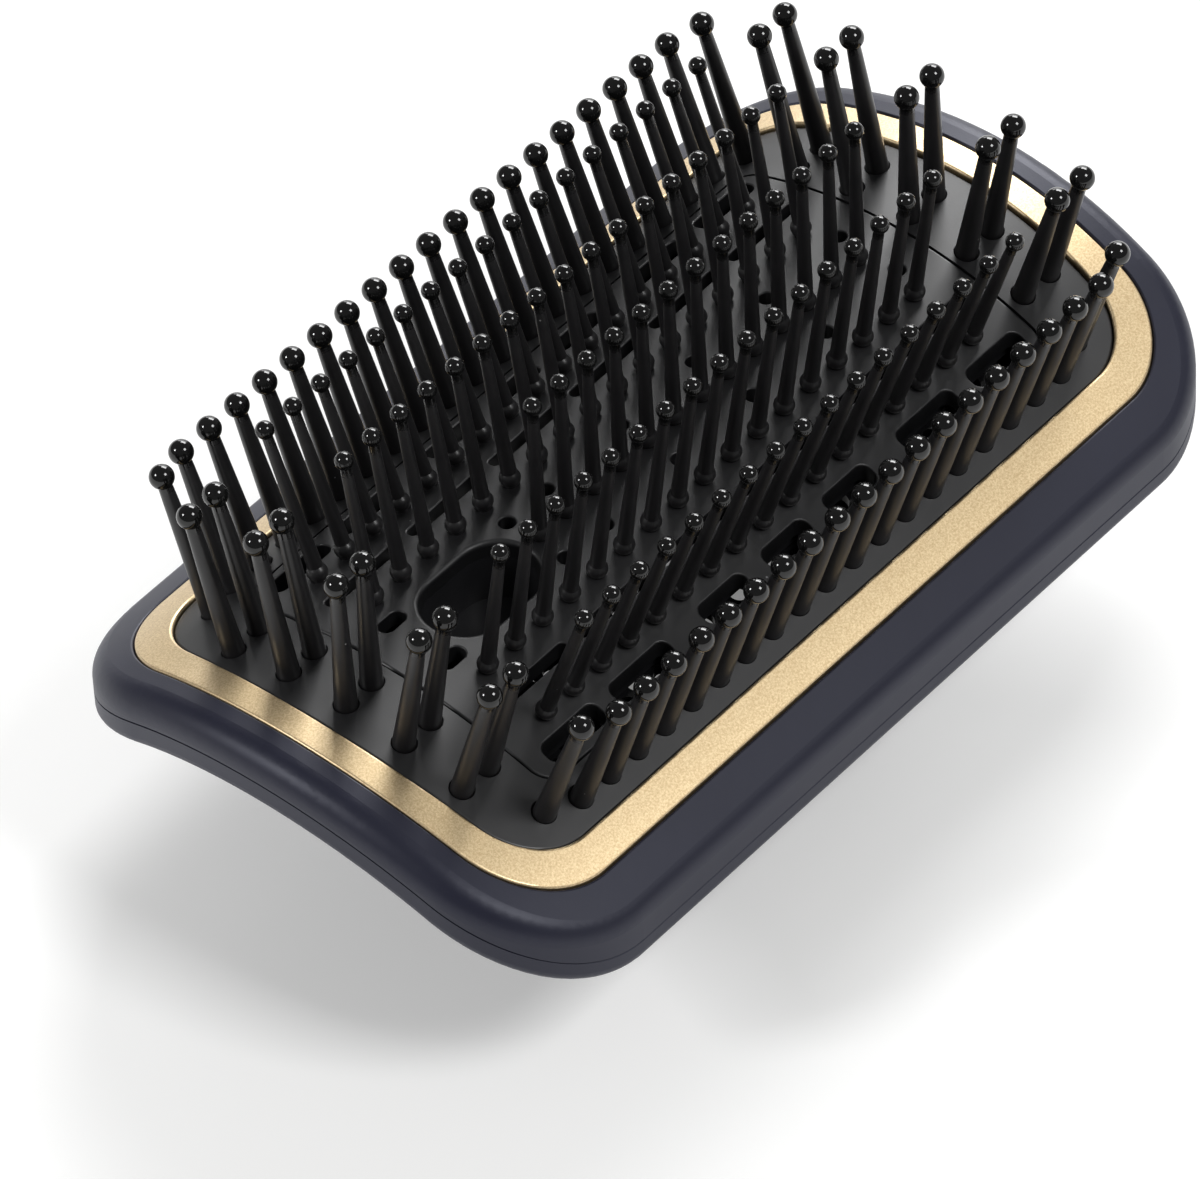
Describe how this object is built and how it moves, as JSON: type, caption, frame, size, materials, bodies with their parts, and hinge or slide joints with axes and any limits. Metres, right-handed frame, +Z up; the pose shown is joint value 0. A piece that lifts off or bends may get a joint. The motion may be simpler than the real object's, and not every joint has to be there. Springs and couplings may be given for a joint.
{
  "type": "paddle brush head",
  "caption": "Paddle brush head for a hot-air styler: crowned pad of ball-tipped bristles, metal trim ring, soft-touch shells and a round socket on the back.",
  "frame": {"origin": "middle of the head in plan, at the rim of the round socket on the back, which is its lowest face", "axes": "+Z up through the bristles, +X along the head towards the end without the well in the pad, +Y towards its left side"},
  "size_m": [0.1244, 0.0728, 0.0549],
  "materials": {
    "navy_soft_touch": "soft-touch coating, fine sheen",
    "champagne_metal": "satin champagne metallic",
    "black_satin_plastic": "satin moulded nylon",
    "black_gloss_plastic": "glossy moulded nylon",
    "charcoal_plastic": "heat-resistant moulded plastic",
    "silicone_rubber": "matte silicone",
    "plated_steel": "zinc plated"
  },
  "bodies": {
    "head": {"front_shell": "navy_soft_touch", "back_shell": "navy_soft_touch", "trim_ring": "champagne_metal", "bristle_plate": "black_satin_plastic", "bristle_pad": "black_satin_plastic", "recess_cup": "black_satin_plastic", "plate_pin_retainer": "charcoal_plastic", "pad_pin_retainer": "charcoal_plastic", "diffuser_grille": "black_gloss_plastic", "socket_tube": "charcoal_plastic", "socket_seal": "silicone_rubber", "retaining_ring": "plated_steel", "stop_pin": "plated_steel", "plate_screws": "plated_steel", "housing_screws": "plated_steel", "retainer_screws": "plated_steel", "socket_screws": "plated_steel", "side_pins_left": "black_gloss_plastic", "side_pins_right": "black_gloss_plastic", "near_end_outer_pins": "black_gloss_plastic", "near_end_inner_pins": "black_gloss_plastic", "far_end_inner_pins": "black_gloss_plastic", "far_end_outer_pins": "black_gloss_plastic", "pad_pins_centre": "black_gloss_plastic", "pad_pins_inner_left": "black_gloss_plastic", "pad_pins_inner_right": "black_gloss_plastic", "pad_pins_outer_left": "black_gloss_plastic", "pad_pins_outer_right": "black_gloss_plastic"},
    "lock_collar": {"lock_ring": "navy_soft_touch"}
  },
  "joints": [
    {"name": "lock_ring_turn", "type": "hinge", "parent": "head", "child": "lock_collar", "pos_m": [0, 0, 0.0055], "axis": [0, 0, 1], "range_deg": [0, 40]}
  ]
}
